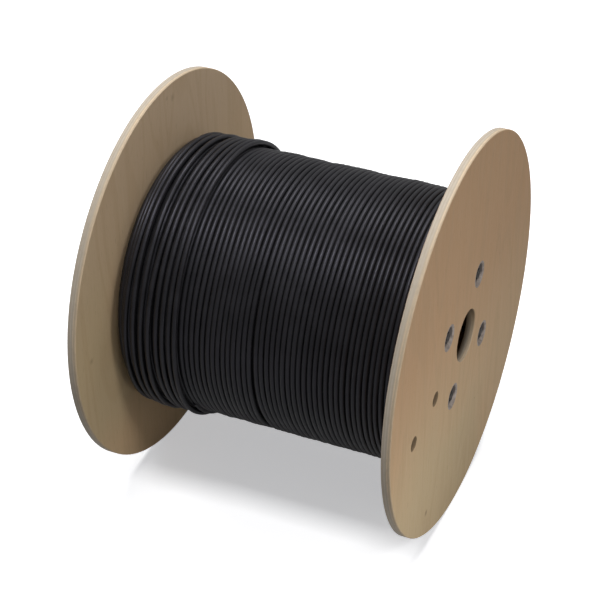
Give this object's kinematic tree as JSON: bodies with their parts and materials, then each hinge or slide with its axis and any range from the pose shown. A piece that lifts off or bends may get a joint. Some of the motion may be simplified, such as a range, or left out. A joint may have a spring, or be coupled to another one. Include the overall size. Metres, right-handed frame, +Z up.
{
  "type": "wooden cable drum",
  "caption": "Plywood cable drum lying on its flange rims, wound with thin black cable, with an arbor hole, sunk tie-rod nuts and cable holes in one flange.",
  "frame": {"origin": "on the floor under the middle of the drum, midway between the flanges", "axes": "+X along the drum's axis towards the flange with the cable holes, +Z up, +Y by the right-hand rule"},
  "size_m": [0.321, 0.3999, 0.4],
  "materials": {
    "plywood": "sanded bare birch plywood with open edge plies",
    "paperboard": "matt wound kraft board",
    "cable_sheath": "satin black cable sheath",
    "zinc_steel": "dull zinc plate"
  },
  "bodies": {
    "root": {"flange_left": "plywood", "flange_right": "plywood", "barrel": "paperboard", "wound_cable": "cable_sheath", "tie_rod_1": "zinc_steel", "tie_rod_2": "zinc_steel", "tie_rod_3": "zinc_steel", "tie_rod_4": "zinc_steel", "cup_washer_left_1": "zinc_steel", "cup_washer_left_2": "zinc_steel", "cup_washer_left_3": "zinc_steel", "cup_washer_left_4": "zinc_steel", "cup_washer_right_1": "zinc_steel", "cup_washer_right_2": "zinc_steel", "cup_washer_right_3": "zinc_steel", "cup_washer_right_4": "zinc_steel", "nut_left_1": "zinc_steel", "nut_left_2": "zinc_steel", "nut_left_3": "zinc_steel", "nut_left_4": "zinc_steel", "nut_right_1": "zinc_steel", "nut_right_2": "zinc_steel", "nut_right_3": "zinc_steel", "nut_right_4": "zinc_steel"}
  },
  "joints": []
}
